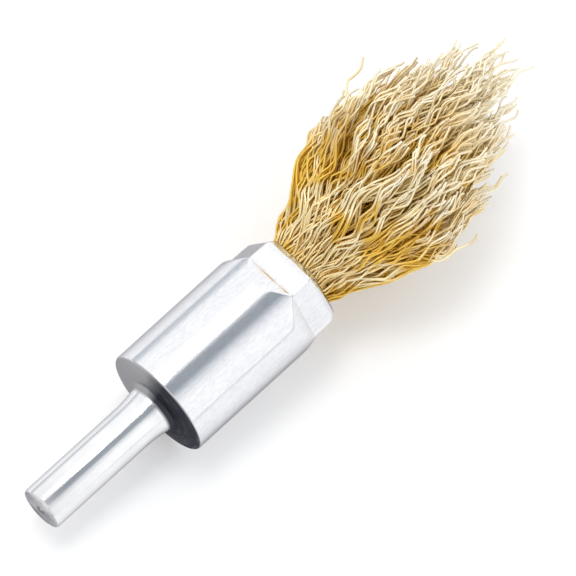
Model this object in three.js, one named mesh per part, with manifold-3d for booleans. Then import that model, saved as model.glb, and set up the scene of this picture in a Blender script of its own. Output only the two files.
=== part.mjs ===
// A shank-mounted end brush: a round steel shank riveted into a steel cup, whose six-sided swaged nose grips
// a tuft of crimped brass wires folded over a steel ring.
// Millimetres. +X runs along the axis of rotation from the shank to the wires, +Z is up as the brush lies on
// its side, and the origin is the centre of the shank's end face.

import * as THREE from "three";
import { mergeVertices } from "three/addons/utils/BufferGeometryUtils.js";
import Module from "manifold-3d";

const wasm = await Module();
wasm.setup();

// Shank: the round rod that a chuck or a collet holds. Its neck widens a little towards the cup, and a small
// cove flares out to its seat there.
const shankDiameter = 6;
const shankLength = 19.4;
const shankChamfer = 0.3;
const neckLength = 3.6;
const neckRise = 0.45;
const coveRadius = 0.9;
const coveSweep = THREE.MathUtils.degToRad(75);
const flareEdge = 0.1;
const spigotDiameter = 4.4;
const rivetDiameter = 6.2;
const rivetHeight = 0.8;

// Cup: the drawn steel shell. Its bottom rises to the seat of the shank, and six flats are pressed into it
// round the mouth, where a short lip leans in on the wires.
const cupDiameter = 15;
const cupLength = 24.2;
const cupWall = 0.8;
const cupBottom = 1.2;
const cupBottomRise = 0.4;
const cupRimRadius = 0.45;
const mouthAcrossFlats = 11;
const lipLength = 1.3;
const lipRise = 0.85;
const flatLength = 4.1;
const flatRise = 0.1;
const flatShoulderLength = 2.3;
const flatCount = 6;
const cornerAngle = THREE.MathUtils.degToRad(-3.5);
const spigotClearance = 0.1;

// Washer under the rivet head, loose in the cup, and the ring that the wires are folded over
const washerClearance = 0.7;
const washerThickness = 1;
const ringWireDiameter = 2;
const ringDiameter = 6.6;

// Wires: four bundles, each folded over the ring and packed tight up to the mouth
const bundleCount = 4;
const bundleGap = 0.1;
const bundleClearance = 0.15;
const bundleSetback = 0.2;
const bundleSink = 0.2;
const strandRelief = 0.15;
const strandsPerBundle = 75;
const strandSides = 3;
const strandRadius = 0.15;
const strandLean = 2;
const strandLeanLength = 14;
const strandLeanAngle = THREE.MathUtils.degToRad(16.4);

// Tuft beyond the mouth: long in the middle, short and wide outside
const tuftLength = 38;
const tuftOuterLength = 13;
const tuftTaperPower = 1.7;
const tuftSpread = 10;
const tuftSpreadLength = 13;
const tuftSpreadPower = 1.3;
const raggedShare = 0.07;
const crimpHeight = 0.45;
const crimpLength = 8;
const crimpPatchLength = 2.1;
const crimpedEndLength = 10.2;
const bendSpacing = 3;
const strandWidthShares = [1.2, 1.6, 1.6, 1.4];

// Fineness of the round shapes, and how far a cutting solid runs past what it cuts
const shankSides = 48;
const cupSides = 72;
const ringSides = 36;
const ringSectionSides = 12;
const bundleSides = 16;
const channelSides = 8;
const arcSteps = 5;
const cutOverrun = 1;

const shankRadius = shankDiameter / 2;
const neckRadius = shankRadius + neckRise;
const flareRadius = neckRadius + coveRadius * (1 - Math.cos(coveSweep));
const cupRadius = cupDiameter / 2;
const cupBack = shankLength + cupBottomRise;
const cupMouth = cupBack + cupLength;
const cupFloor = cupBack + cupBottom;
const washerFront = cupFloor + washerThickness;
const washerRadius = cupRadius - cupWall - washerClearance;
const spigotHoleRadius = spigotDiameter / 2 + spigotClearance;
const ringRadius = ringDiameter / 2;
const bundleInset = cupWall + bundleClearance;
const foldRadius = cupRadius - bundleInset - ringRadius;
const foldCentre = washerFront + rivetHeight + bundleClearance + foldRadius;
const bundleTop = cupMouth - bundleSetback;

function arc(centreAlong, centreRadius, radius, fromDegrees, toDegrees) {
  const points = [];
  for (let step = 0; step <= arcSteps; step += 1) {
    const angle = THREE.MathUtils.degToRad(THREE.MathUtils.lerp(fromDegrees, toDegrees, step / arcSteps));
    points.push([centreAlong + radius * Math.cos(angle), centreRadius + radius * Math.sin(angle)]);
  }
  return points;
}

function solidOf(geometry) {
  const bare = geometry.clone();
  bare.deleteAttribute("normal");
  bare.deleteAttribute("uv");
  const merged = mergeVertices(bare);
  const mesh = { numProp: 3, vertProperties: merged.attributes.position.array, triVerts: merged.index.array };
  return new wasm.Manifold(new wasm.Mesh(mesh));
}

// A solid of revolution about X, from [distance along X, radius] pairs that start and end on the axis.
// Every one starts its sides at a corner of the nose, so that nested pieces line up.
function turned(profile, sides) {
  const points = profile.map(([along, radius]) => new THREE.Vector2(radius, along));
  const lathe = new THREE.LatheGeometry(points, sides, cornerAngle - Math.PI / 2);
  lathe.rotateZ(-Math.PI / 2);
  return solidOf(lathe);
}

// The six flats of the nose as one pyramid-ended prism, set in from the cup's outside by an inset.
function flatsTool(inset) {
  const cornerRadius = (apothem) => (apothem - inset) / Math.cos(Math.PI / flatCount);
  const mouthApothem = mouthAcrossFlats / 2;
  const lipApothem = mouthApothem + lipRise;
  const flatApothem = lipApothem + flatRise;
  const lipSlope = lipRise / lipLength;
  const shoulderSlope = (cupRadius - flatApothem) / flatShoulderLength;
  const shoulderStart = cupMouth - flatLength;
  const shoulderEnd = shoulderStart - flatShoulderLength - cutOverrun;
  const bodyRadius = cornerRadius(cupRadius + shoulderSlope * cutOverrun);
  return turned([
    [shankLength - cutOverrun, 0],
    [shankLength - cutOverrun, bodyRadius],
    [shoulderEnd, bodyRadius],
    [shoulderStart, cornerRadius(flatApothem)],
    [cupMouth - lipLength, cornerRadius(lipApothem)],
    [cupMouth + cutOverrun, cornerRadius(mouthApothem - lipSlope * cutOverrun)],
    [cupMouth + cutOverrun, 0],
  ], flatCount);
}

function shankSolid() {
  const coveStart = shankLength - flareEdge - coveRadius * Math.sin(coveSweep);
  const coveEndDegrees = THREE.MathUtils.radToDeg(coveSweep) - 90;
  const rivetRadius = rivetDiameter / 2;
  const domeRadius = (rivetRadius ** 2 + rivetHeight ** 2) / (2 * rivetHeight);
  const domeDegrees = THREE.MathUtils.radToDeg(Math.asin(rivetRadius / domeRadius));
  const dome = arc(washerFront + rivetHeight - domeRadius, 0, domeRadius, domeDegrees, 0);
  return turned([
    [0, 0],
    [0, shankRadius - shankChamfer],
    [shankChamfer, shankRadius],
    [coveStart - neckLength, shankRadius],
    ...arc(coveStart, neckRadius + coveRadius, coveRadius, -90, coveEndDegrees),
    [shankLength, flareRadius],
    [shankLength, spigotDiameter / 2],
    [washerFront, spigotDiameter / 2],
    ...dome.slice(0, -1),
    [washerFront + rivetHeight, 0],
  ], shankSides);
}

function cupSolid() {
  const rimCentre = cupRadius - cupRimRadius;
  const outside = turned([
    [shankLength, 0],
    [shankLength, flareRadius],
    ...arc(cupBack + cupRimRadius, rimCentre, cupRimRadius, 180, 90),
    [cupMouth, cupRadius],
    [cupMouth, 0],
  ], cupSides).intersect(flatsTool(0));
  const cavity = turned([
    [cupFloor, 0],
    [cupFloor, cupRadius - cupWall],
    [cupMouth + cutOverrun, cupRadius - cupWall],
    [cupMouth + cutOverrun, 0],
  ], cupSides).intersect(flatsTool(cupWall));
  const spigotHole = turned([
    [shankLength - cutOverrun, 0],
    [shankLength - cutOverrun, spigotHoleRadius],
    [cupFloor + cutOverrun, spigotHoleRadius],
    [cupFloor + cutOverrun, 0],
  ], shankSides);
  return outside.subtract(cavity).subtract(spigotHole);
}

function washerSolid() {
  const disc = turned([
    [cupFloor, 0],
    [cupFloor, washerRadius],
    [washerFront, washerRadius],
    [washerFront, 0],
  ], shankSides);
  const hole = turned([
    [cupFloor - cutOverrun, 0],
    [cupFloor - cutOverrun, spigotHoleRadius],
    [washerFront + cutOverrun, spigotHoleRadius],
    [washerFront + cutOverrun, 0],
  ], shankSides);
  return disc.subtract(hole);
}

function ringSolid(sectionRadius, sectionSides, sides) {
  const torus = new THREE.TorusGeometry(ringRadius, sectionRadius, sectionSides, sides);
  torus.rotateY(Math.PI / 2);
  torus.translate(foldCentre, 0, 0);
  return solidOf(torus);
}

// The wires of one bundle inside the cup: a quarter of the packed mass, round at the back where the wires
// turn over the ring, and with a channel where the ring lies.
function bundleRootSolid(bundle) {
  const outerRadius = ringRadius + foldRadius;
  const mass = turned([
    [foldCentre - foldRadius / 2, 0],
    ...arc(foldCentre, ringRadius, foldRadius, 240, 90),
    [bundleTop, outerRadius],
    [bundleTop, 0],
  ], bundleSides);
  const quarter = new THREE.BoxGeometry(cupLength, cupDiameter, cupDiameter);
  const quarterCentre = (cupDiameter + bundleGap) / 2;
  quarter.translate(cupBack + cupLength / 2, quarterCentre, quarterCentre);
  quarter.rotateX(bundle * Math.PI / 2);
  const channel = ringSolid(ringWireDiameter / 2 + 2 * bundleClearance, channelSides, bundleSides);
  return mass.intersect(flatsTool(bundleInset)).intersect(solidOf(quarter)).subtract(channel);
}

// How far the packed wires reach from the axis at the mouth, towards an angle, out to the hexagon's edge.
function packedReach(angle) {
  const sector = 2 * Math.PI / flatCount;
  const turn = THREE.MathUtils.euclideanModulo(angle - cornerAngle, sector) - sector / 2;
  return (mouthAcrossFlats / 2 - bundleInset - strandRadius - strandRelief) / Math.cos(turn);
}

// The inner corner of a bundle's quarter, a strand's width clear of the two bundles beside it.
function bundleCorner(bundle) {
  const margin = bundleGap / 2 + strandRadius;
  return new THREE.Vector2(margin, margin).rotateAround(new THREE.Vector2(), bundle * Math.PI / 2);
}

// Roots fill a bundle's quarter evenly: equal areas outwards, and a golden-section step round.
function strandRoot(bundle, index) {
  const goldenShare = (Math.sqrt(5) - 1) / 2;
  const corner = bundleCorner(bundle);
  const angle = ((index * goldenShare + bundle / bundleCount) % 1 + bundle) * Math.PI / 2;
  const outward = new THREE.Vector2(Math.cos(angle), Math.sin(angle));
  const reach = (packedReach(angle) - corner.dot(outward)) * Math.sqrt((index + 1 / 2) / strandsPerBundle);
  return corner.addScaledVector(outward, reach);
}

// How far a strand runs beyond the packed mass, before its end is made ragged.
function evenLength(root) {
  const outward = root.length() / packedReach(root.angle());
  return bundleSetback + tuftLength - (tuftLength - tuftOuterLength) * outward ** tuftTaperPower;
}

// A strand's axis at some distance beyond the packed mass: it spreads outwards, leans to the tuft's side and
// is crimped towards its end. Neighbours are crimped nearly alike, so they lie side by side and never cross.
function strandPoint(root, bundle, beyond) {
  const corner = bundleCorner(bundle);
  const spread = tuftSpread * (1 - Math.exp(-((beyond / tuftSpreadLength) ** tuftSpreadPower)));
  const point = root.clone().sub(corner).multiplyScalar(1 + spread / packedReach(root.angle())).add(corner);
  const lean = strandLean * (1 - Math.exp(-((beyond / strandLeanLength) ** 2)));
  point.x += lean * Math.cos(strandLeanAngle);
  point.y += lean * Math.sin(strandLeanAngle);
  const crimped = 2 * (1 - (evenLength(root) - beyond) / crimpedEndLength);
  const height = crimpHeight * THREE.MathUtils.clamp(crimped, 0, 1);
  const patch = Math.sin(root.x / crimpPatchLength) + Math.cos(root.y / crimpPatchLength);
  const phase = 2 * Math.PI * beyond / crimpLength + patch;
  point.x += height * Math.sin(phase);
  point.y += height * Math.sin(phase + Math.PI / 3);
  return new THREE.Vector3(bundleTop + beyond, point.x, point.y);
}

// One closed strand of a few sides, added to lists of vertices and faces. It runs straight from its root to its
// crimped end, whose bends lie at the same distances from the mouth on every strand.
function addStrand(vertices, faces, bundle, index) {
  const root = strandRoot(bundle, index);
  const length = evenLength(root);
  const centres = [new THREE.Vector3(bundleTop - bundleSink, root.x, root.y)];
  const radii = [strandRadius];
  const firstBend = Math.max(Math.ceil((length - crimpedEndLength) / bendSpacing), 1);
  for (let bend = firstBend; (bend + 1 / 2) * bendSpacing < length; bend += 1) {
    centres.push(strandPoint(root, bundle, bend * bendSpacing));
    radii.push(strandRadius * strandWidthShares[Math.min(bend - firstBend, strandWidthShares.length - 1)]);
  }
  const first = vertices.length / 3;
  centres.forEach((centre, ring) => {
    for (let side = 0; side < strandSides; side += 1) {
      const turn = side * 2 * Math.PI / strandSides;
      const corner = new THREE.Vector2(radii[ring], 0).rotateAround(new THREE.Vector2(), turn);
      vertices.push(centre.x, centre.y + corner.x, centre.z + corner.y);
    }
  });
  const ragged = raggedShare * (index * Math.SQRT2 % 1 * 2 - 1);
  vertices.push(...strandPoint(root, bundle, length * (1 + ragged)));
  const tip = first + strandSides * centres.length;
  for (let side = 2; side < strandSides; side += 1) {
    faces.push(first, first + side, first + side - 1);
  }
  for (let side = 0; side < strandSides; side += 1) {
    const next = (side + 1) % strandSides;
    const last = tip - strandSides;
    for (let ring = 0; ring < centres.length - 1; ring += 1) {
      const low = first + strandSides * ring;
      const high = low + strandSides;
      faces.push(low + side, low + next, high + side, low + next, high + next, high + side);
    }
    faces.push(last + side, last + next, tip);
  }
}

function bundleSolid(bundle) {
  const vertices = [];
  const faces = [];
  for (let index = 0; index < strandsPerBundle; index += 1) {
    addStrand(vertices, faces, bundle, index);
  }
  const strands = new THREE.BufferGeometry();
  strands.setAttribute("position", new THREE.Float32BufferAttribute(vertices, 3));
  strands.setIndex(faces);
  return bundleRootSolid(bundle).add(solidOf(strands));
}

const shankSteel = new THREE.MeshStandardMaterial({ color: 0xd2d3d5, roughness: 0.15, metalness: 1 });
const cupSteel = new THREE.MeshStandardMaterial({ color: 0xc6c8cb, roughness: 0.28, metalness: 1 });
const innerSteel = new THREE.MeshStandardMaterial({ color: 0x9a9a98, roughness: 0.5, metalness: 1 });
const brassWire = new THREE.MeshStandardMaterial({ color: 0xd9b356, roughness: 0.3, metalness: 1 });

function node(name, solid, material) {
  const { vertProperties, triVerts } = solid.getMesh();
  const geometry = new THREE.BufferGeometry();
  geometry.setAttribute("position", new THREE.BufferAttribute(vertProperties, 3));
  geometry.setIndex(new THREE.BufferAttribute(triVerts, 1));
  geometry.computeVertexNormals();
  const mesh = new THREE.Mesh(geometry, material);
  mesh.name = name;
  return mesh;
}

const brush = new THREE.Group();
brush.name = "end_brush";
brush.add(node("shank", shankSolid(), shankSteel));
brush.add(node("cup", cupSolid(), cupSteel));
brush.add(node("rivet_washer", washerSolid(), innerSteel));
brush.add(node("anchor_ring", ringSolid(ringWireDiameter / 2, ringSectionSides, ringSides), innerSteel));
for (let bundle = 0; bundle < bundleCount; bundle += 1) {
  brush.add(node(`wire_bundle_${bundle + 1}`, bundleSolid(bundle), brassWire));
}

export default brush;
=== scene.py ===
# A shank-mounted end brush lying on a pale floor: a steel shank riveted into a plated steel cup, whose
# six-sided nose grips a tuft of crimped brass wires. Metres, in the frame of the CAD model: +X runs along the
# axis from the shank to the wires, and +Z is up. Angles round the axis are counted from +Y towards +Z.

import math

import bpy
import numpy as np
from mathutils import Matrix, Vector, noise


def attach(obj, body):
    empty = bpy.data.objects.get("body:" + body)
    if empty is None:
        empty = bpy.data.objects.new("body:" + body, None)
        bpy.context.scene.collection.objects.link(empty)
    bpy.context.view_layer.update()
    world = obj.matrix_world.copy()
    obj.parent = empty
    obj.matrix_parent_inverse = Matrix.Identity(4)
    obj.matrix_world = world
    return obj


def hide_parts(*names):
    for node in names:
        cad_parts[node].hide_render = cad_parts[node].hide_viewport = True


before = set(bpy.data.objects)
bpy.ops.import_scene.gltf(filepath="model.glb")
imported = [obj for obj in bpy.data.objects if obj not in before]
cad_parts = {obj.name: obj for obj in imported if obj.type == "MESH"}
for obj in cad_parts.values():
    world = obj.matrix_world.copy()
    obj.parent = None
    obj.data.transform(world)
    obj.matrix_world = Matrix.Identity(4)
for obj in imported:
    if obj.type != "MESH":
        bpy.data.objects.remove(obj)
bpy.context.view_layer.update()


# Shank
# A bar of bright steel turned in a lathe: a centre mark in its end, a chamfer, a neck that widens a little,
# and a small cove out to the seat of the cup. Its spigot goes through cup and washer, and is riveted over
# inside.
mm = 0.001

shank_radius = 3.0 * mm
shank_length = 19.4 * mm
shank_chamfer = 0.35 * mm
chamfer_bow = 0.3 * shank_chamfer
centre_mark_radius = 0.45 * mm
centre_mark_depth = 0.3 * mm
neck_length = 3.6 * mm
neck_rise = 0.3 * mm
neck_power = 2.4
neck_steps = 8
cove_radius = 0.9 * mm
cove_sweep = math.radians(75)
flare_edge = 0.02 * mm
neck_radius = shank_radius + neck_rise
flare_radius = neck_radius + cove_radius * (1 - math.cos(cove_sweep))
spigot_radius = 2.2 * mm
rivet_radius = 3.1 * mm
rivet_height = 0.8 * mm
washer_front = 22.0 * mm
shank_sides = 192
cove_steps = 14
dome_steps = 8

end_face_fade = (0.04 * mm, 0.16 * mm)
centre_mark_fade = (0.35 * mm, 0.8 * mm)
# Painted shade round the seat of the shank in the cup, least dark on the +Y side.
shank_shade_span = (18.45 * mm, 18.9 * mm)
painted_shade_angle = 3.1
painted_shade_light = (0.41, 0.41, 0.42, 1.0)
painted_shade_dark = (0.054, 0.056, 0.07, 1.0)
steel_edge_tint = (0.5, 0.5, 0.52, 1.0)


def ring_points(along, radius, sides):
    angles = (2 * math.pi * side / sides for side in range(sides))
    return [(along, radius * math.cos(angle), radius * math.sin(angle)) for angle in angles]


def place_object(name, data):
    placed = bpy.data.objects.new(name, data)
    bpy.context.scene.collection.objects.link(placed)
    return placed


def skin_rings(name, rings, closed_loop=False, sharp_degrees=28.0):
    """Skin rings of points, in the order that puts the outside outwards; a ring of one point is a pole."""
    vertices = []
    starts = []
    for ring in rings:
        starts.append(len(vertices))
        vertices.extend(ring)
    faces = []
    pairs = list(zip(range(len(rings) - 1), range(1, len(rings))))
    if closed_loop:
        pairs.append((len(rings) - 1, 0))
    for low, high in pairs:
        sides = max(len(rings[low]), len(rings[high]))
        first = starts[low]
        second = starts[high]
        for side in range(sides):
            after = (side + 1) % sides
            if len(rings[low]) == 1:
                faces.append((first, second + after, second + side))
            elif len(rings[high]) == 1:
                faces.append((first + side, first + after, second))
            else:
                faces.append((first + side, first + after, second + after, second + side))
    mesh = bpy.data.meshes.new(name)
    mesh.from_pydata(vertices, [], faces)
    mesh.shade_smooth()
    mesh.set_sharp_from_angle(angle=math.radians(sharp_degrees))
    return place_object(name, mesh)


def shank_profile():
    """Places along the axis with their radii, from the centre mark round to the top of the rivet head."""
    profile = [(centre_mark_depth, 0.0), (0.0, centre_mark_radius), (0.0, shank_radius - shank_chamfer)]
    profile += [(chamfer_bow, shank_radius - chamfer_bow), (shank_chamfer, shank_radius)]
    cove_start = shank_length - flare_edge - cove_radius * math.sin(cove_sweep)
    for step in range(neck_steps):
        share = step / neck_steps
        rise = neck_rise * share ** neck_power
        profile.append((cove_start - neck_length * (1 - share), shank_radius + rise))
    for step in range(cove_steps + 1):
        angle = cove_sweep * step / cove_steps
        rise = cove_radius * (1 - math.cos(angle))
        profile.append((cove_start + cove_radius * math.sin(angle), neck_radius + rise))
    profile.append((shank_length, flare_radius))
    profile += [(shank_length, spigot_radius), (washer_front, spigot_radius)]
    dome_radius = (rivet_radius ** 2 + rivet_height ** 2) / (2 * rivet_height)
    widest = math.asin(rivet_radius / dome_radius)
    dome_centre = washer_front + rivet_height - dome_radius
    for step in range(dome_steps + 1):
        angle = widest * (1 - step / dome_steps)
        profile.append((dome_centre + dome_radius * math.cos(angle), dome_radius * math.sin(angle)))
    return profile


shank_rings = []
for along, radius in shank_profile():
    shank_rings.append(ring_points(along, radius, shank_sides) if radius > 0 else [(along, 0.0, 0.0)])
shank = skin_rings("turned_shank", shank_rings)


def add_node(tree, kind, inputs, **settings):
    """Add a shader node; each input is a value, or the output socket that feeds it."""
    node = tree.nodes.new(kind)
    for name, value in settings.items():
        setattr(node, name, value)
    for name, value in inputs.items():
        if isinstance(value, bpy.types.NodeSocket):
            tree.links.new(value, node.inputs[name])
        else:
            node.inputs[name].default_value = value
    return node


def calculate(tree, operation, first, second=0.0, clamped=False):
    wanted = {0: first, 1: second}
    return add_node(tree, "ShaderNodeMath", wanted, operation=operation, use_clamp=clamped).outputs["Value"]


def bare_material(name):
    material = bpy.data.materials.new(name)
    material.use_nodes = True
    return material, material.node_tree, material.node_tree.nodes["Principled BSDF"]


def object_place(tree):
    return add_node(tree, "ShaderNodeTexCoord", {}).outputs["Object"]


def split_axes(tree, vector):
    return add_node(tree, "ShaderNodeSeparateXYZ", {"Vector": vector}).outputs


def stretched_noise(tree, place, stretch, detail, roughness=0.6):
    """Noise that is finer along the axes with the larger stretch, in cells per metre."""
    scaled = add_node(tree, "ShaderNodeVectorMath", {0: place, 1: stretch}, operation="MULTIPLY")
    wanted = {"Vector": scaled.outputs["Vector"], "Scale": 1.0, "Detail": detail, "Roughness": roughness}
    return add_node(tree, "ShaderNodeTexNoise", wanted).outputs["Fac"]


def between(tree, factor, lowest, highest, start=0.3, end=0.7):
    """From lowest to highest while the factor goes from start to end, and level outside them."""
    wanted = {"Value": factor, "From Min": start, "From Max": end, "To Min": lowest, "To Max": highest}
    return add_node(tree, "ShaderNodeMapRange", wanted).outputs["Result"]


def blend(tree, factor, first, second):
    mix = add_node(tree, "ShaderNodeMix", {0: factor}, data_type="RGBA")
    for socket, value in ((mix.inputs[6], first), (mix.inputs[7], second)):
        if isinstance(value, bpy.types.NodeSocket):
            tree.links.new(value, socket)
        else:
            socket.default_value = value
    return mix.outputs[2]


def relief(tree, height, strength, distance, under=None):
    """A bump from a height, laid over another bump's normal where there is one."""
    wanted = {"Height": height, "Strength": strength, "Distance": distance}
    if under is not None:
        wanted["Normal"] = under
    return add_node(tree, "ShaderNodeBump", wanted).outputs["Normal"]


def turned_place(tree):
    """Place on a turned piece: along the axis, out from the axis, and the angle round it."""
    place = object_place(tree)
    axes = split_axes(tree, place)
    across = add_node(tree, "ShaderNodeCombineXYZ", {"Y": axes["Y"], "Z": axes["Z"]})
    out = add_node(tree, "ShaderNodeVectorMath", {0: across.outputs["Vector"]}, operation="LENGTH")
    angle = calculate(tree, "ARCTAN2", axes["Z"], axes["Y"])
    wanted = {"X": axes["X"], "Y": out.outputs["Value"], "Z": angle}
    return place, add_node(tree, "ShaderNodeCombineXYZ", wanted).outputs["Vector"]


def painted_seat_shade(tree, turned, start, end):
    """How near a place is to the joint, and the painted shade laid there: least dark on the +Y side."""
    axes = split_axes(tree, turned)
    near = between(tree, axes["X"], 0.0, 1.0, start, end)
    away = calculate(tree, "COSINE", calculate(tree, "SUBTRACT", axes["Z"], painted_shade_angle))
    return near, blend(tree, between(tree, away, 0.0, 1.0, -0.25, 0.2), painted_shade_light, painted_shade_dark)


def bright_steel():
    """Bright turned steel: feed lines round it, scratches along it, handling marks, and a sheared end."""
    material, tree, shader = bare_material("bright_turned_steel")
    place, turned = turned_place(tree)
    feed_lines = stretched_noise(tree, turned, (9000.0, 9000.0, 0.6), 3.0)
    scratches = stretched_noise(tree, place, (70.0, 5200.0, 5200.0), 4.0, 0.7)
    clouds = stretched_noise(tree, place, (240.0, 420.0, 420.0), 5.0)
    bright = (0.86, 0.86, 0.87, 1.0)
    handled = (0.78, 0.785, 0.80, 1.0)
    scratched = (0.61, 0.61, 0.62, 1.0)
    sheared_light = (0.66, 0.66, 0.665, 1.0)
    sheared_dark = (0.44, 0.44, 0.45, 1.0)
    mark_painted_shade = (0.07, 0.07, 0.075, 1.0)

    shader.inputs["Metallic"].default_value = 1.0
    clouded = blend(tree, between(tree, clouds, 0.0, 1.0), bright, handled)
    worn = blend(tree, between(tree, scratches, 0.0, 0.35, 0.55, 0.8), clouded, scratched)
    # Painted shade on the shank where it meets the cup.
    near, seat_shade_colour = painted_seat_shade(tree, turned, *shank_shade_span)
    tarnish_and_shade = blend(tree, near, worn, seat_shade_colour)
    axes = split_axes(tree, turned)
    at_end = between(tree, axes["X"], 1.0, 0.0, *end_face_fade)
    in_mark = between(tree, axes["Y"], 1.0, 0.0, *centre_mark_fade)
    torn = blend(tree, between(tree, clouds, 0.0, 1.0, 0.42, 0.58), sheared_light, sheared_dark)
    # Painted shade in the centre mark.
    pitted = blend(tree, in_mark, torn, mark_painted_shade)
    tree.links.new(blend(tree, at_end, tarnish_and_shade, pitted), shader.inputs["Base Color"])
    shader.inputs["Specular Tint"].default_value = steel_edge_tint

    handled_rough = between(tree, clouds, 0.07, 0.14)
    scratched_rough = between(tree, scratches, 0.0, 0.09, 0.45, 0.8)
    rough = calculate(tree, "ADD", handled_rough, scratched_rough)
    seat_rough = calculate(tree, "ADD", rough, between(tree, near, 0.0, 0.35, 0.0, 1.0))
    tree.links.new(seat_rough, shader.inputs["Roughness"])
    turned_relief = relief(tree, feed_lines, 0.05, 0.05 * mm)
    scratched_relief = relief(tree, scratches, 0.12, 0.06 * mm, turned_relief)
    tree.links.new(scratched_relief, shader.inputs["Normal"])
    return material


shank.data.materials.append(bright_steel())
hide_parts("shank")
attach(shank, "root")


# Cup
# A plated shell drawn from sheet steel, with a bottom that rises a little to the shank's seat. Six dies have
# pressed its nose into a hexagon that grips the wires, with a crisp step at the back of each flat and a lip
# that is turned in round the mouth.
cup_radius = 7.5 * mm
cup_back = 19.8 * mm
cup_floor = 21.0 * mm
cup_mouth = 44.0 * mm
cup_wall = 0.8 * mm
rim_radius = 0.45 * mm
lip_radius = 0.3 * mm
hole_radius = 2.3 * mm
first_corner = math.radians(-3.5)
flat_count = 6
nose_shape = [(37.4, 7.52), (38.1, 7.37), (38.8, 7.08), (39.4, 6.75), (39.9, 6.43),
              (42.6, 6.36), (43.0, 6.22), (43.4, 5.98), (43.75, 5.74), (44.0, 5.45)]
nose_margin = 0.4 * mm
shoulder_slope = 0.1
bend_width = 0.3 * mm
bend_samples = 7
press_softness = 0.045 * mm
least_facing = 0.4
cup_sides = 288
body_stations = 12
nose_stations = 64
rim_steps = 10
lip_steps = 5
wall_stations = 18
# Where the painted shade on the cup's bottom fades out.
cup_shade_span = (cup_back + 0.32 * mm, cup_back + 0.12 * mm)


def flat_distance(along):
    """Distance from the axis to the flats at a place along the axis, with its bends rounded off."""
    places = np.array([station for station, distance in nose_shape]) * mm
    distances = np.array([distance for station, distance in nose_shape]) * mm
    near = along + np.linspace(-0.5, 0.5, bend_samples) * bend_width
    before = distances[0] + (places[0] - near) * shoulder_slope
    return float(np.mean(np.where(near < places[0], before, np.interp(near, places, distances))))


def cup_ring(along, place, inset):
    """A ring of the shell: round where the flats don't reach, and six-sided where they do."""
    distance = flat_distance(along)
    ring = []
    for side in range(cup_sides):
        angle = 2 * math.pi * side / cup_sides
        radii = [cup_radius]
        for flat in range(flat_count):
            facing = math.cos(angle - first_corner - (flat + 0.5) * 2 * math.pi / flat_count)
            if facing > least_facing:
                radii.append(distance / facing)
        least = min(radii)
        soft = sum(math.exp((least - radius) / press_softness) for radius in radii)
        radius = least - press_softness * math.log(soft) - inset
        ring.append((place, radius * math.cos(angle), radius * math.sin(angle)))
    return ring


cup_rings = [ring_points(shank_length, hole_radius, cup_sides)]
cup_rings.append(ring_points(shank_length, flare_radius, cup_sides))
for step in range(1, rim_steps + 1):
    angle = math.pi / 2 * step / rim_steps
    along = cup_back + rim_radius * (1 - math.cos(angle))
    cup_rings.append(ring_points(along, cup_radius - rim_radius * (1 - math.sin(angle)), cup_sides))
nose_start = nose_shape[0][0] * mm - nose_margin
for station in range(1, body_stations + 1):
    along = cup_back + rim_radius + (nose_start - cup_back - rim_radius) * station / body_stations
    cup_rings.append(cup_ring(along, along, 0.0))
for station in range(1, nose_stations + 1):
    along = nose_start + (cup_mouth - lip_radius - nose_start) * station / nose_stations
    cup_rings.append(cup_ring(along, along, 0.0))
for step in range(1, lip_steps + 1):
    angle = math.pi / 2 * step / lip_steps
    place = cup_mouth - lip_radius * (1 - math.sin(angle))
    cup_rings.append(cup_ring(place, place, lip_radius * (1 - math.cos(angle))))
for step in range(lip_steps + 1):
    angle = math.pi / 2 * step / lip_steps
    place = cup_mouth - lip_radius * (1 - math.cos(angle))
    cup_rings.append(cup_ring(place, place, cup_wall - lip_radius * (1 - math.sin(angle))))
for station in range(1, wall_stations + 1):
    along = cup_mouth - lip_radius + (cup_floor - cup_mouth + lip_radius) * station / wall_stations
    cup_rings.append(cup_ring(along, along, cup_wall))
cup_rings.append(ring_points(cup_floor, hole_radius, cup_sides))
cup = skin_rings("drawn_cup", cup_rings, closed_loop=True)


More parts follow.
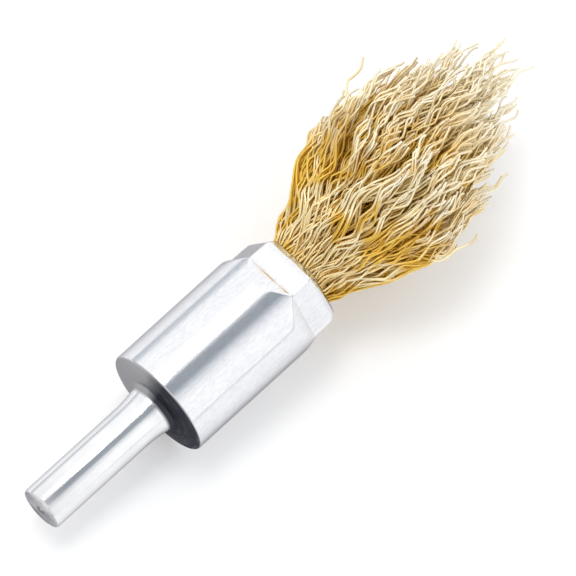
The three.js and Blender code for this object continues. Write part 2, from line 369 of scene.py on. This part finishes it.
def plated_steel():
    """Drawn and plated steel: draw lines along it, mottling, specks, and rings in the painted shade on its
    bottom.
    """
    material, tree, shader = bare_material("plated_drawn_steel")
    place, turned = turned_place(tree)
    draw_lines = stretched_noise(tree, place, (40.0, 2600.0, 2600.0), 4.0, 0.65)
    rings = stretched_noise(tree, turned, (900.0, 2300.0, 1.6), 3.0)
    mottle = stretched_noise(tree, place, (130.0, 300.0, 300.0), 6.0)
    specks = stretched_noise(tree, place, (1100.0, 2400.0, 2400.0), 3.0, 0.6)
    plated = (0.85, 0.855, 0.87, 1.0)
    mottled = (0.79, 0.795, 0.82, 1.0)
    lined = (0.68, 0.685, 0.71, 1.0)
    speckled = (0.63, 0.635, 0.68, 1.0)
    ring_light = (0.46, 0.46, 0.47, 1.0)

    shader.inputs["Metallic"].default_value = 1.0
    clouded = blend(tree, between(tree, mottle, 0.0, 1.0), plated, mottled)
    streaked = blend(tree, between(tree, draw_lines, 0.0, 0.3, 0.5, 0.8), clouded, lined)
    grained = blend(tree, between(tree, specks, 0.0, 0.35, 0.42, 0.68), streaked, speckled)
    # Painted shade on the cup's bottom, with lighter rings in it.
    near, seat_shade_colour = painted_seat_shade(tree, turned, *cup_shade_span)
    ringed = blend(tree, between(tree, rings, 0.0, 0.3, 0.5, 0.75), seat_shade_colour, ring_light)
    tree.links.new(blend(tree, near, grained, ringed), shader.inputs["Base Color"])
    shader.inputs["Specular Tint"].default_value = steel_edge_tint

    mottled_rough = between(tree, mottle, 0.09, 0.15)
    rough = calculate(tree, "ADD", mottled_rough, between(tree, draw_lines, 0.0, 0.05, 0.45, 0.75))
    seat_rough = calculate(tree, "ADD", rough, between(tree, near, 0.0, 0.3, 0.0, 1.0))
    tree.links.new(seat_rough, shader.inputs["Roughness"])
    drawn_relief = relief(tree, draw_lines, 0.06, 0.1 * mm)
    ringed_relief = relief(tree, rings, 0.04, 0.08 * mm, drawn_relief)
    speckled_relief = relief(tree, specks, 0.05, 0.05 * mm, ringed_relief)
    tree.links.new(speckled_relief, shader.inputs["Normal"])
    return material


cup.data.materials.append(plated_steel())
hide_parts("cup")
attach(cup, "root")


# Washer and anchor ring
# A stamped washer spreads the rivet head inside the cup, and a ring of round steel wire stands in front of
# it, with every brass wire folded over it. Both are plain steel, dull from stamping and bending.
def dull_steel():
    """Unplated steel: dark mill scale in clouds, with rubbed lighter patches and a fine grain."""
    material, tree, shader = bare_material("dull_inner_steel")
    place = object_place(tree)
    scale_clouds = stretched_noise(tree, place, (500.0, 500.0, 500.0), 6.0)
    grain = stretched_noise(tree, place, (6000.0, 6000.0, 6000.0), 2.0)
    rubbed = (0.42, 0.42, 0.41, 1.0)
    scaled = (0.26, 0.25, 0.24, 1.0)

    shader.inputs["Metallic"].default_value = 1.0
    colour = blend(tree, between(tree, scale_clouds, 0.0, 1.0), rubbed, scaled)
    tree.links.new(colour, shader.inputs["Base Color"])
    tree.links.new(between(tree, scale_clouds, 0.36, 0.6), shader.inputs["Roughness"])
    tree.links.new(relief(tree, grain, 0.2, 0.05 * mm), shader.inputs["Normal"])
    return material


inner_steel = dull_steel()
for node_name in ("rivet_washer", "anchor_ring"):
    for material_slot in bpy.data.objects[node_name].material_slots:
        material_slot.material = inner_steel


# Crimped brass wires
# Each wire is one hairpin of drawn, crimped brass-coated wire: it turns over the anchor ring inside the cup,
# and its two legs run out of the mouth. Six hairpins make a lock whose waves nest, and the locks are cut
# short outside and long in the middle. There is one piece for each quarter of the tuft, as in the CAD.
wire_radius = 0.16 * mm
wire_sides = 5
wire_step = 0.55 * mm
fewest_steps = 6
wire_sharp_degrees = 80
lock_pairs = 94
lock_wires = 6
lock_spacing = 0.38 * mm
lock_opening = 0.12 * mm
opening_length = 20 * mm
packed_distance = 4.3 * mm
ring_centre = 26.2 * mm
ring_radius = 3.3 * mm
fold_reach = (1.2 * mm, 3.1 * mm)
fold_steps = 8
leg_stations = (0.12, 0.35, 0.6, 0.82)

longest_leg = 39.5 * mm
shortest_leg = 15.5 * mm
length_power = 1.5
patch_size = 2.2 * mm
patch_share = 0.12
cut_scatter = 0.03
tuft_spread = 9.3 * mm
tuft_spread_length = 13.0 * mm
tuft_spread_power = 1.5
tuft_lean = 1.9 * mm
tuft_lean_length = 14.0 * mm
lean_angle = math.radians(16.4)

crimp_length = 4.6 * mm
crimp_height = 0.62 * mm
crimp_drag = 1.6
crimp_third_wave = 0.1
crimp_at_mouth = 0.35
crimp_loss = 0.5
crimp_length_range = (0.8, 1.15)
crimp_height_range = (0.75, 1.2)
crimp_twist_scatter = 0.03
roll_scatter = 0.1
pinch_range = (0.2, 0.6)
clump_height = 1.7 * mm
clump_size = 4.0 * mm
clump_length = 14 * mm
clump_onset = 1.3
wander_height = 1.5 * mm
wander_length = 7.0 * mm
wander_onset = 4 * mm
loosening_length = 3 * mm
leader_every = 3
following = 0.4

wire_phase_scatter = 0.55
wire_phase_length = 14 * mm
wire_height_range = (0.8, 1.15)
wire_length_range = (0.84, 1.03)
drift_height = 0.42 * mm
drift_length = 4.5 * mm
stray_chance = 0.03
stray_reach = (3 * mm, 7 * mm)
stray_start = 0.35
stray_power = 1.5
tone_scatter = 0.18
lock_seeds = 50
wire_seeds = 90
patch_layer = 3.7
wander_layer = 0.5
drag_layer = 20.5
drift_layer = 7.5
first_sideways = (0.0, 0.3, 1.0)
# How far the painted shade in hollows looks for other wires.
hollow_depth = 1.6 * mm
# Where the painted shade by the mouth fades, and where the painted light far out grows.
mouth_shade = (cup_mouth, cup_mouth + 7 * mm)
far_light_span = (cup_mouth + 22 * mm, cup_mouth + 34 * mm)
golden_turn = math.pi * (3 - math.sqrt(5))
chance = np.random.default_rng(18)
noise.seed_set(18)


def packed_reach(angle):
    """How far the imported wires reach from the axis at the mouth, out to the edge of the hexagon."""
    sector = 2 * math.pi / flat_count
    turn = (angle - first_corner) % sector - sector / 2
    return packed_distance / math.cos(turn)


def zigzag(phase):
    return math.sin(phase) - crimp_third_wave * math.sin(3 * phase)


class Lock:
    """One end of a lock of six wires: its start, its length, its waves, and the lock that it follows."""

    def __init__(self, outward, angle):
        self.outward = outward
        self.angle = angle
        reach = packed_reach(angle) * outward
        self.root = np.array((reach * math.cos(angle), reach * math.sin(angle)))
        patch = noise.noise(Vector((*(self.root / patch_size), patch_layer)))
        evenly = longest_leg - (longest_leg - shortest_leg) * outward ** length_power
        self.length = evenly * (1 + patch_share * patch + chance.normal(0, cut_scatter))
        self.crimp_turn = chance.uniform(0, math.pi)
        self.crimp_twist = chance.normal(0, crimp_twist_scatter) / mm
        self.crimp_length = crimp_length * chance.uniform(*crimp_length_range)
        self.crimp_phase = chance.uniform(0, 2 * math.pi)
        self.crimp_height = crimp_height * chance.uniform(*crimp_height_range)
        self.roll = chance.uniform(0, 2 * math.pi)
        self.roll_rate = chance.normal(0, roll_scatter) / mm
        self.pinch = chance.uniform(*pinch_range)
        self.seed = chance.uniform(0, lock_seeds)
        self.tone = chance.uniform(0, 1)
        self.leader = self

    def middle(self, beyond):
        """The middle of the lock in the plane across the axis, at some distance beyond the mouth."""
        share = max(beyond / self.length, 0.0)
        spread = 1 - math.exp(-(beyond / tuft_spread_length) ** tuft_spread_power)
        out = self.outward * tuft_spread * spread
        point = self.root + out * np.array((math.cos(self.angle), math.sin(self.angle)))
        lean = tuft_lean * (1 - math.exp(-(beyond / tuft_lean_length) ** 2))
        point = point + lean * np.array((math.cos(lean_angle), math.sin(lean_angle)))
        clump = noise.noise_vector(Vector((*(point / clump_size), beyond / clump_length)))
        point = point + clump_height * min(share * clump_onset, 1.0) * np.array((clump.x, clump.y))
        wander = noise.noise_vector(Vector((beyond / wander_length, self.seed, wander_layer)))
        loose = 1 - math.exp(-beyond / wander_onset)
        return point + wander_height * loose * np.array((wander.x, wander.y))


def draw_wire(slot_radius, slot_angle, stray):
    """What chance gives one leg of a wire, drawn in the order in which it is written here."""
    return {
        "slot_radius": slot_radius, "slot_angle": slot_angle, "stray": stray,
        "phase": chance.normal(0, wire_phase_scatter), "height": chance.uniform(*wire_height_range),
        "length": chance.uniform(*wire_length_range), "seed": chance.uniform(0, wire_seeds),
        "stray_angle": chance.uniform(0, 2 * math.pi),
    }


def wire_point(lock, wire, beyond):
    """The axis of one wire of a lock, at some distance beyond the mouth."""
    leader = lock.leader
    loose = 1 - math.exp(-beyond / loosening_length)
    share = min(beyond / lock.length, 1.0)
    point = lock.middle(beyond)
    if leader is not lock:
        point = point + (leader.middle(beyond) - point) * following * share * share * (3 - 2 * share)
    turn = lock.crimp_turn + lock.crimp_twist * beyond
    drag = noise.noise(Vector((beyond / wander_length, lock.seed, drag_layer)))
    phase = 2 * math.pi * beyond / lock.crimp_length + lock.crimp_phase + crimp_drag * drag
    phase = phase + wire["phase"] * (1 + beyond / wire_phase_length)
    held = crimp_at_mouth + (1 - crimp_at_mouth) * loose
    wave = lock.crimp_height * wire["height"] * held * (1 - crimp_loss * share) * zigzag(phase)
    point = point + wave * np.array((math.cos(turn), math.sin(turn)))
    slot_angle = wire["slot_angle"] + lock.roll + lock.roll_rate * beyond
    opening = lock_spacing + lock_opening * loose * (1 + beyond / opening_length)
    opening = opening * (1 - lock.pinch * share ** 3)
    point = point + wire["slot_radius"] * opening * np.array((math.cos(slot_angle), math.sin(slot_angle)))
    drift = noise.noise_vector(Vector((beyond / drift_length, wire["seed"], drift_layer)))
    point = point + drift_height * loose * np.array((drift.x, drift.y))
    if wire["stray"] > 0:
        leaving = max(beyond / lock.length - stray_start, 0.0)
        stray = wire["stray"] * leaving ** stray_power
        point = point + stray * np.array((math.cos(wire["stray_angle"]), math.sin(wire["stray_angle"])))
    return np.array((cup_mouth + beyond, point[0], point[1]))


def leg_points(lock, wire):
    """One leg of a hairpin beyond the mouth, from the mouth to its cut end."""
    length = lock.length * wire["length"]
    count = max(int(round(length / wire_step)), fewest_steps)
    return [wire_point(lock, wire, length * step / count) for step in range(count + 1)]


def hidden_leg(fold_end, mouth_end):
    """Points between the fold and the mouth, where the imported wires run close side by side."""
    points = []
    for share in leg_stations:
        ease = share * share * (3 - 2 * share)
        point = fold_end + (mouth_end - fold_end) * ease
        point[0] = fold_end[0] + (mouth_end[0] - fold_end[0]) * share
        points.append(point)
    return points


def fold_points(angle, reach, sideways):
    """The turn of a wire over the anchor ring, from its inner leg round the back to its outer leg."""
    outward = np.array((0.0, math.cos(angle), math.sin(angle)))
    across = np.array((0.0, -math.sin(angle), math.cos(angle)))
    points = []
    for step in range(fold_steps + 1):
        turn = math.pi * step / fold_steps
        radius = ring_radius - reach * math.cos(turn)
        point = outward * radius + across * sideways * radius / ring_radius
        point[0] = ring_centre - reach * math.sin(turn)
        points.append(point)
    return points


def lay_tube(points, radius, sides):
    """The vertices of a round wire along its points, ring after ring, carried along without twist."""
    points = np.array(points)
    steps = np.diff(points, axis=0)
    tangents = np.vstack((steps[:1], steps[1:] + steps[:-1], steps[-1:]))
    tangents /= np.linalg.norm(tangents, axis=1)[:, None]
    normal = np.cross(tangents[0], first_sideways)
    rings = []
    for point, tangent in zip(points, tangents):
        normal = normal - tangent * normal.dot(tangent)
        normal /= math.sqrt(normal.dot(normal))
        side_way = np.cross(tangent, normal)
        rings.append((point, normal, side_way))
    angles = np.arange(sides) * 2 * math.pi / sides
    cosines, sines = np.cos(angles)[:, None], np.sin(angles)[:, None]
    vertices = [point + radius * (cosines * normal + sines * side_way) for point, normal, side_way in rings]
    return np.vstack(vertices)


def tube_faces(start, ring_count):
    """The faces of a wire whose vertices are counted from start: its skin, and its two cut ends."""
    last = start + (ring_count - 1) * wire_sides
    first = np.arange(start, last).reshape(ring_count - 1, wire_sides)
    after = np.roll(first, -1, axis=1)
    quads = np.stack((first, after, after + wire_sides, first + wire_sides), axis=-1).reshape(-1, 4)
    ends = [list(range(start, start + wire_sides))[::-1], list(range(last, last + wire_sides))]
    return quads.tolist() + ends


# The floor is laid after the wires, but they already bend along it, so its place is set here.
floor_height = -7.5 * mm
floor_start = 20.8 * mm
floor_slope = -0.1


def above_floor(points):
    """Wires that would go into the floor bend along it instead."""
    lifted = np.array(points)
    lowest = floor_height + floor_slope * (lifted[:, 0] - floor_start) + 2 * wire_radius
    short = np.maximum(lowest - lifted[:, 2], 0.0)
    lifted[:, 2] += short
    return lifted


def outermost(beyond):
    """How far out the tuft reaches at some distance beyond the mouth, as the even locks fill it."""
    left = np.clip((longest_leg - beyond) / (longest_leg - shortest_leg), 0.02, 1.0) ** (1 / length_power)
    spread = tuft_spread * (1 - np.exp(-(beyond / tuft_spread_length) ** tuft_spread_power))
    return left * (packed_distance + spread)


lock_ends = []
for pair in range(lock_pairs):
    share = (pair + 0.5) / (2 * lock_pairs)
    angle = (pair * golden_turn) % (2 * math.pi)
    lock_ends.append((Lock(math.sqrt(share), angle), Lock(math.sqrt(1 - share), angle)))
every_lock = [lock for ends in lock_ends for lock in ends]
shuffled = chance.permutation(len(every_lock))
leaders = [every_lock[index] for index in shuffled[:len(every_lock) // leader_every]]
for lock in every_lock:
    lock.leader = min(leaders, key=lambda leader: np.linalg.norm(leader.root - lock.root))

quarters = []
for number in range(4):
    quarters.append({"vertices": [], "faces": [], "tone": [], "reach": [], "outside": [], "count": 0})
for pair, (inner, outer) in enumerate(lock_ends):
    share = (pair + 0.5) / (2 * lock_pairs)
    reach = fold_reach[1] - (fold_reach[1] - fold_reach[0]) * 2 * share
    quarter = quarters[int(inner.angle // (math.pi / 2)) % 4]
    for slot in range(lock_wires):
        slot_radius = 0.0 if slot == 0 else 1.0
        slot_angle = slot * 2 * math.pi / (lock_wires - 1)
        stray = chance.uniform(*stray_reach) if chance.uniform() < stray_chance else 0.0
        inner_wire = draw_wire(slot_radius, slot_angle, stray)
        outer_wire = draw_wire(slot_radius, slot_angle, stray)
        inner_leg = leg_points(inner, inner_wire)
        outer_leg = leg_points(outer, outer_wire)
        depth = reach - slot_radius * math.cos(slot_angle) * lock_spacing
        fold = fold_points(inner.angle, depth, slot_radius * math.sin(slot_angle) * lock_spacing)
        points = inner_leg[::-1] + hidden_leg(fold[0], inner_leg[0])[::-1] + fold
        points = above_floor(points + hidden_leg(fold[-1], outer_leg[0]) + outer_leg)
        ring_count = len(points)
        quarter["vertices"].append(lay_tube(points, wire_radius, wire_sides))
        quarter["faces"].extend(tube_faces(quarter["count"], ring_count))
        quarter["count"] += ring_count * wire_sides
        lock_tone = 0.5 * (inner.leader.tone + outer.leader.tone)
        tone = min(max(lock_tone + chance.normal(0, tone_scatter), 0.0), 1.0)
        quarter["tone"].append(np.full(ring_count * wire_sides, tone))
        tip_share = np.zeros(ring_count)
        tip_share[:len(inner_leg)] = np.linspace(1, 0, len(inner_leg))
        tip_share[-len(outer_leg):] = np.linspace(0, 1, len(outer_leg))
        quarter["reach"].append(np.repeat(tip_share, wire_sides))
        beyond = np.maximum(points[:, 0] - cup_mouth, 0.0)
        lean = tuft_lean * (1 - np.exp(-(beyond / tuft_lean_length) ** 2))
        lean_y = lean * math.cos(lean_angle)
        lean_z = lean * math.sin(lean_angle)
        away = np.hypot(points[:, 1] - lean_y, points[:, 2] - lean_z)
        quarter["outside"].append(np.repeat(away / outermost(beyond), wire_sides))


def brass_coat():
    """Drawn brass coat: wires paler or yellower, browner in patches, with painted shade inside and painted
    light far out.
    """
    material, tree, shader = bare_material("crimped_brass_wire")
    place = object_place(tree)
    tone = add_node(tree, "ShaderNodeAttribute", {}, attribute_name="tone").outputs["Fac"]
    reach = add_node(tree, "ShaderNodeAttribute", {}, attribute_name="reach").outputs["Fac"]
    outside = add_node(tree, "ShaderNodeAttribute", {}, attribute_name="outside").outputs["Fac"]
    along = split_axes(tree, place)["X"]
    tarnish = stretched_noise(tree, place, (700.0, 1100.0, 1100.0), 4.0)
    drawn = stretched_noise(tree, place, (1500.0, 9000.0, 9000.0), 3.0)
    patches = stretched_noise(tree, place, (120.0, 200.0, 200.0), 2.0)
    hollow = add_node(tree, "ShaderNodeAmbientOcclusion", {"Distance": hollow_depth}, samples=4).outputs["AO"]
    pale_brass = (1.0, 0.95, 0.74, 1.0)
    yellow_brass = (1.0, 0.88, 0.56, 1.0)
    tarnished = (0.88, 0.66, 0.26, 1.0)
    patch_brown = (0.84, 0.57, 0.10, 1.0)
    inner_painted_shade = (0.84, 0.58, 0.11, 1.0)
    hollow_painted_shade = (0.84, 0.55, 0.05, 1.0)
    mouth_painted_shade = (0.72, 0.47, 0.09, 1.0)
    far_painted_light = (1.0, 0.96, 0.78, 1.0)
    tip_painted_light = (0.93, 0.88, 0.78, 1.0)

    shader.inputs["Metallic"].default_value = 1.0
    brass = blend(tree, tone, pale_brass, yellow_brass)
    tarnish_and_shade = blend(tree, between(tree, tarnish, 0.0, 0.4, 0.5, 0.75), brass, tarnished)
    browned = blend(tree, between(tree, patches, 0.0, 0.95, 0.45, 0.54), tarnish_and_shade, patch_brown)
    # Painted shade on the wires that lie further inside the tuft.
    inner_shaded = blend(tree, between(tree, outside, 1.0, 0.0, 0.5, 0.9), browned, inner_painted_shade)
    # Painted shade where other wires crowd close round a wire.
    shaded = blend(tree, between(tree, hollow, 0.8, 0.0, 0.1, 0.7), inner_shaded, hollow_painted_shade)
    # Painted shade on the wires just out of the mouth.
    near_mouth = between(tree, along, 0.5, 0.0, *mouth_shade)
    mouth_shaded = blend(tree, near_mouth, shaded, mouth_painted_shade)
    # Painted light: the wires grow paler towards the far end of the tuft.
    far_out = between(tree, along, 0.0, 0.6, *far_light_span)
    paled = blend(tree, far_out, mouth_shaded, far_painted_light)
    # Painted light: paler over the last quarter of each wire, out to its tip.
    tipped = blend(tree, between(tree, reach, 0.0, 0.6, 0.75, 1.0), paled, tip_painted_light)
    tree.links.new(tipped, shader.inputs["Base Color"])
    tree.links.new(between(tree, tarnish, 0.5, 0.64), shader.inputs["Roughness"])
    tree.links.new(relief(tree, drawn, 0.15, 0.02 * mm), shader.inputs["Normal"])
    return material


wire_brass = brass_coat()
for number, quarter in enumerate(quarters, start=1):
    mesh = bpy.data.meshes.new(f"brass_wires_{number}")
    mesh.from_pydata(np.vstack(quarter["vertices"]).tolist(), [], quarter["faces"])
    for name in ("tone", "reach", "outside"):
        attribute = mesh.attributes.new(name, "FLOAT", "POINT")
        attribute.data.foreach_set("value", np.concatenate(quarter[name]).astype(np.float32))
    mesh.shade_smooth()
    mesh.set_sharp_from_angle(angle=math.radians(wire_sharp_degrees))
    mesh.materials.append(wire_brass)
    wires = place_object(f"brass_wires_{number}", mesh)
    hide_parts(f"wire_bundle_{number}")
    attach(wires, "root")


# Floor
# A sheet of pale card that the brush lies on. It touches the bottom edge of the cup and the underside of the
# tuft, which stands out further, so against the brush's axis it slopes a little.
floor_half = 0.9
floor_glow = 0.24


def pale_card():
    """Matt pale card that also glows a little where the camera or a mirror-like surface sees it."""
    material, tree, shader = bare_material("pale_card")
    fibre = stretched_noise(tree, object_place(tree), (300.0, 300.0, 300.0), 4.0)
    card = blend(tree, fibre, (0.77, 0.77, 0.775, 1.0), (0.79, 0.79, 0.79, 1.0))
    tree.links.new(card, shader.inputs["Base Color"])
    shader.inputs["Roughness"].default_value = 0.9
    shader.inputs["Specular IOR Level"].default_value = 0.0
    rays = add_node(tree, "ShaderNodeLightPath", {}).outputs
    seen = calculate(tree, "ADD", rays["Is Camera Ray"], rays["Is Glossy Ray"])
    seen = calculate(tree, "ADD", seen, rays["Is Transmission Ray"], clamped=True)
    shader.inputs["Emission Color"].default_value = (1.0, 1.0, 1.0, 1.0)
    tree.links.new(calculate(tree, "MULTIPLY", seen, floor_glow), shader.inputs["Emission Strength"])
    return material


corners = []
for along, across in ((-1, -1), (1, -1), (1, 1), (-1, 1)):
    corner_x = along * floor_half + floor_start
    corners.append((corner_x, across * floor_half, floor_height + floor_slope * (corner_x - floor_start)))
floor_mesh = bpy.data.meshes.new("pale_floor")
floor_mesh.from_pydata(corners, [], [(0, 1, 2, 3)])
floor_mesh.materials.append(pale_card())
pale_floor = place_object("pale_floor", floor_mesh)


# Light
# A white tent round the table, a little brighter than plain white, and one soft lamp nearly overhead for the
# glints on the wires. A dim, slightly blue gap along the top of the tent shows in the bright steel as a dark
# stripe. The bands are in degrees, from level on the +Y side over the top to level on the -Y side.
tent_level = 1.2
tent_bands = [(0, 0.68), (8, 0.76), (21, tent_level), (85, tent_level), (91, 0.42), (111, 0.42), (123, 0.92),
              (138, tent_level), (180, tent_level)]
tent_end = 180
shade_blueness = 0.12
end_dimming = 0.7
gap_start = 84
gap_end = 125

world = bpy.data.worlds.new("white_tent")
bpy.context.scene.world = world
world.use_nodes = True
tree = world.node_tree
background = tree.nodes["Background"]
facing = split_axes(tree, add_node(tree, "ShaderNodeTexCoord", {}).outputs["Generated"])
turn = between(tree, calculate(tree, "ARCTAN2", facing["Z"], facing["Y"]), 0.0, 1.0, 0.0, math.pi)
tent = add_node(tree, "ShaderNodeValToRGB", {"Fac": turn})
stops = tent.color_ramp.elements
while len(stops) < len(tent_bands):
    stops.new(0.5)
for stop, (degrees, level) in zip(stops, tent_bands):
    blueness = 1 + shade_blueness * (tent_level - level)
    stop.position = degrees / tent_end
    stop.color = (level / blueness, level, level * blueness, 1.0)

# The tent is dimmer past the shank, and past the tuft on the -Y side.
past_shank = between(tree, facing["X"], end_dimming, 1.0, -0.4, 0.1)
past_tuft = between(tree, facing["X"], 1.0, end_dimming, 0.45, 0.7)
plus_y_side = between(tree, turn, 1.0, 0.0, 0.62, 0.72)
past_tuft_minus_y = calculate(tree, "MAXIMUM", past_tuft, plus_y_side)
window = calculate(tree, "MULTIPLY", past_shank, past_tuft_minus_y)

# Towards both ends of the brush the gap is shut.
over_shank = between(tree, facing["X"], 1.0, 0.0, -0.25, -0.12)
over_tuft = between(tree, facing["X"], 0.0, 1.0, 0.42, 0.56)
closed = calculate(tree, "ADD", over_shank, over_tuft, clamped=True)
after_start = calculate(tree, "GREATER_THAN", turn, gap_start / tent_end)
before_end = calculate(tree, "LESS_THAN", turn, gap_end / tent_end)
in_gap = calculate(tree, "MULTIPLY", after_start, before_end)
shut = calculate(tree, "MULTIPLY", closed, in_gap)
shut_tent = blend(tree, shut, tent.outputs["Color"], (tent_level, tent_level, tent_level, 1.0))
tent_light = add_node(tree, "ShaderNodeVectorMath", {0: shut_tent, 1: window}, operation="MULTIPLY")
camera_ray = add_node(tree, "ShaderNodeLightPath", {}).outputs["Is Camera Ray"]
sky = blend(tree, camera_ray, tent_light.outputs["Vector"], (1.0, 1.0, 1.0, 1.0))
tree.links.new(sky, background.inputs["Color"])

lamp_place = Vector((0.1, 0.2, 0.8))
lamp_target = Vector((0.045, 0.0, 0.0))
lamp_data = bpy.data.lights.new("soft_lamp", "AREA")
lamp_data.shape = "DISK"
lamp_data.size = 0.35
lamp_data.energy = 1.6
lamp = place_object("soft_lamp", lamp_data)
lamp.location = lamp_place
lamp.rotation_euler = (lamp_target - lamp_place).to_track_quat("-Z", "Y").to_euler()


# Camera
# It looks down on the brush along the photograph's line of sight, with the shank at the lower left. A long
# lens from far off keeps the shank's near end close to its place in the photograph.
camera_target = Vector((0.0421, -0.00026, -0.00008))
camera_side = Vector((-0.267, -0.2717, 0.9245))
camera_distance = 1.476
camera_data = bpy.data.cameras.new("photo_camera")
camera_data.sensor_width = 36.0
camera_data.lens = 750.0
camera = place_object("photo_camera", camera_data)
camera.location = camera_target + camera_side * camera_distance
camera.rotation_euler = (-camera_side).to_track_quat("-Z", "Y").to_euler()
bpy.context.scene.camera = camera
bpy.context.scene.view_settings.view_transform = "Standard"
